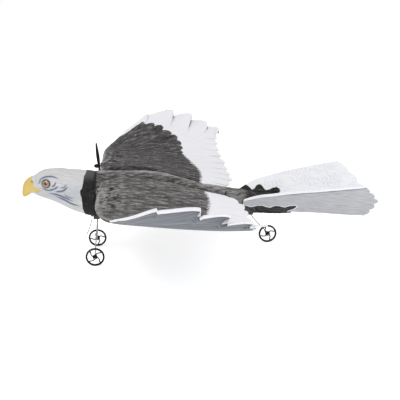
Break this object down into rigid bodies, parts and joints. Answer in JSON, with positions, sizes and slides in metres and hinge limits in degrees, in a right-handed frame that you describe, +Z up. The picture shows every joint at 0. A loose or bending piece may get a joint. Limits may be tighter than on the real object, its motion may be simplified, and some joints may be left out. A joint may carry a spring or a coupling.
{
  "type": "bird-shaped model aeroplane",
  "caption": "Foam model aeroplane shaped and painted as a bald eagle, with wing propellers, feathered wings, V-tail and a wheeled wire landing gear.",
  "frame": {"origin": "middle of the footprint, on the ground that the wheels stand on", "axes": "-X forward towards the beak, +Y towards the right wing tip, +Z up"},
  "size_m": [0.8718, 0.9456, 0.2707],
  "materials": {
    "foam_body": "matte",
    "foam_wing": "matte",
    "foam_tail": "matte",
    "foam_head": "matte",
    "beak_yellow": "satin",
    "eye_gloss": "gloss",
    "wheel_black": "satin",
    "propeller_black": "satin",
    "steel_wire": "satin",
    "motor_can": "satin",
    "carbon": "satin",
    "circuit_board": "satin",
    "battery_wrap": "gloss",
    "lead_sleeve": "matte",
    "antenna_sleeve": "matte",
    "switch_slider": "satin",
    "rubber_black": "matte",
    "black_plastic": "satin"
  },
  "bodies": {
    "airframe": {"fuselage_left_half": "foam_body", "fuselage_right_half": "foam_body", "head_shell": "foam_head", "eye_left": "eye_gloss", "eye_right": "eye_gloss", "beak": "beak_yellow", "wing_left": "foam_wing", "wing_right": "foam_wing", "wing_spar": "carbon", "motor_mount_left": "black_plastic", "motor_left": "motor_can", "motor_lead_left": "lead_sleeve", "motor_mount_right": "black_plastic", "motor_right": "motor_can", "motor_lead_right": "lead_sleeve", "gear_block": "black_plastic", "gear_leg_left": "steel_wire", "wheel_keeper_left": "black_plastic", "gear_leg_right": "steel_wire", "wheel_keeper_right": "black_plastic", "battery_box": "black_plastic", "hatch_hinge_pin": "steel_wire", "battery_pack": "battery_wrap", "receiver_board": "circuit_board", "power_switch_body": "black_plastic", "antenna_grommet": "rubber_black", "antenna_wire": "antenna_sleeve", "tail_keel_fairing": "foam_body", "tail_gear_bracket": "black_plastic", "tail_panel_left": "foam_tail", "tail_panel_right": "foam_tail", "tail_joiner_peg": "carbon", "tail_gear_leg": "steel_wire"},
    "propeller_left_body": {"propeller_left": "propeller_black", "spinner_left": "propeller_black", "motor_shaft_left": "steel_wire"},
    "front_wheel_left_body": {"front_wheel_left": "wheel_black"},
    "propeller_right_body": {"propeller_right": "propeller_black", "spinner_right": "propeller_black", "motor_shaft_right": "steel_wire"},
    "front_wheel_right_body": {"front_wheel_right": "wheel_black"},
    "tail_wheel_body": {"tail_wheel": "wheel_black"},
    "battery_hatch_body": {"battery_hatch": "black_plastic"},
    "power_switch_slider_body": {"power_switch_slider": "switch_slider"}
  },
  "joints": [
    {"name": "propeller_left_spin", "type": "hinge", "parent": "airframe", "child": "propeller_left_body", "pos_m": [-0.25249, -0.121, 0.20149], "axis": [-0.9993, 0, -0.0368], "continuous": true},
    {"name": "propeller_right_spin", "type": "hinge", "parent": "airframe", "child": "propeller_right_body", "pos_m": [-0.25249, 0.121, 0.20149], "axis": [-0.9993, 0, -0.0368], "continuous": true},
    {"name": "front_wheel_left_spin", "type": "hinge", "parent": "airframe", "child": "front_wheel_left_body", "pos_m": [-0.2705, -0.066, 0.02317], "axis": [0, 1, 0], "continuous": true},
    {"name": "front_wheel_right_spin", "type": "hinge", "parent": "airframe", "child": "front_wheel_right_body", "pos_m": [-0.2705, 0.066, 0.02317], "axis": [0, 1, 0], "continuous": true},
    {"name": "tail_wheel_spin", "type": "hinge", "parent": "airframe", "child": "tail_wheel_body", "pos_m": [0.16555, 0, 0.02317], "axis": [0, 1, 0], "continuous": true},
    {"name": "battery_hatch_hinge", "type": "hinge", "parent": "airframe", "child": "battery_hatch_body", "pos_m": [-0.14156, 0, 0.09816], "axis": [0, -1, 0], "range_deg": [0, 90]},
    {"name": "power_switch_slide", "type": "slide", "parent": "airframe", "child": "power_switch_slider_body", "axis": [0.9987, 0, -0.0505], "range_m": [0, 0.0042]}
  ]
}
